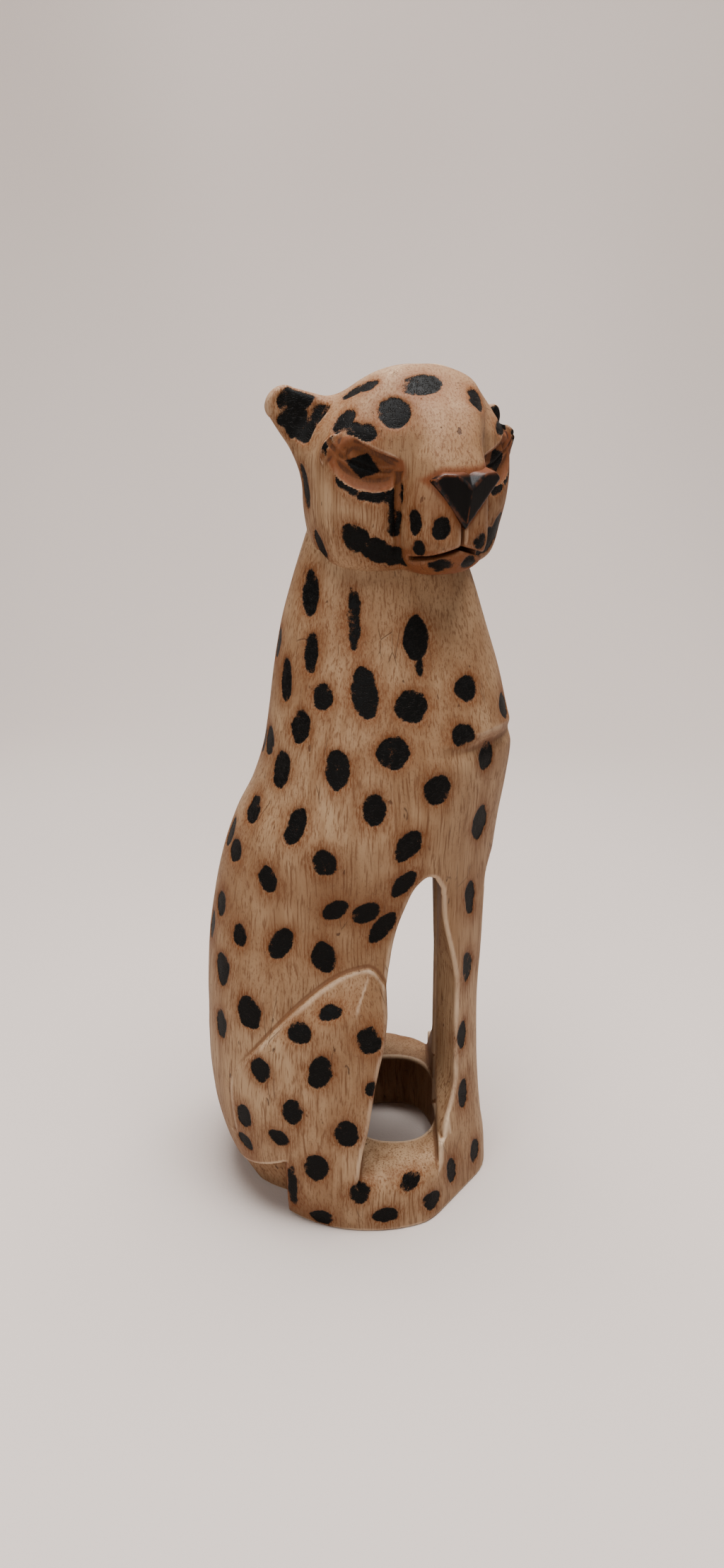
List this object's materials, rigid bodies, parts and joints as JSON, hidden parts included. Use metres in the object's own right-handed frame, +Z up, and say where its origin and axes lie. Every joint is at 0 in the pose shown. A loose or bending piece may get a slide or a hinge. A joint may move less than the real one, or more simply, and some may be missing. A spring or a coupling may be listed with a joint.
{
  "type": "carved wooden cheetah figurine",
  "caption": "Upright sitting cheetah carved from one round wooden billet, head turned over its shoulder, legs open above a ring base; stands on a shelf.",
  "frame": {"origin": "on the ground under the middle of the billet", "axes": "+Z up, -Y the way the chest faces, -X the animal's right side, to which the head is turned"},
  "size_m": [0.1062, 0.1151, 0.3],
  "materials": {
    "carved_wood": "hand-carved pale wood, sanded, with dark burnt spots, scorched halos and a thin satin wax",
    "nose_black": "the same wood burnt black and polished to a gloss"
  },
  "bodies": {
    "root": {"trunk": "carved_wood", "neck": "carved_wood", "rump_foot": "carved_wood", "tail": "carved_wood", "haunch_right": "carved_wood", "haunch_left": "carved_wood", "hind_foot_right": "carved_wood", "hind_foot_left": "carved_wood", "side_rail_right": "carved_wood", "side_rail_left": "carved_wood", "forefoot_right": "carved_wood", "forefoot_left": "carved_wood", "foreleg_right": "carved_wood", "foreleg_left": "carved_wood", "head": "carved_wood", "muzzle": "carved_wood", "lower_jaw": "carved_wood", "ear_right": "carved_wood", "ear_left": "carved_wood", "nose": "nose_black"}
  },
  "joints": []
}
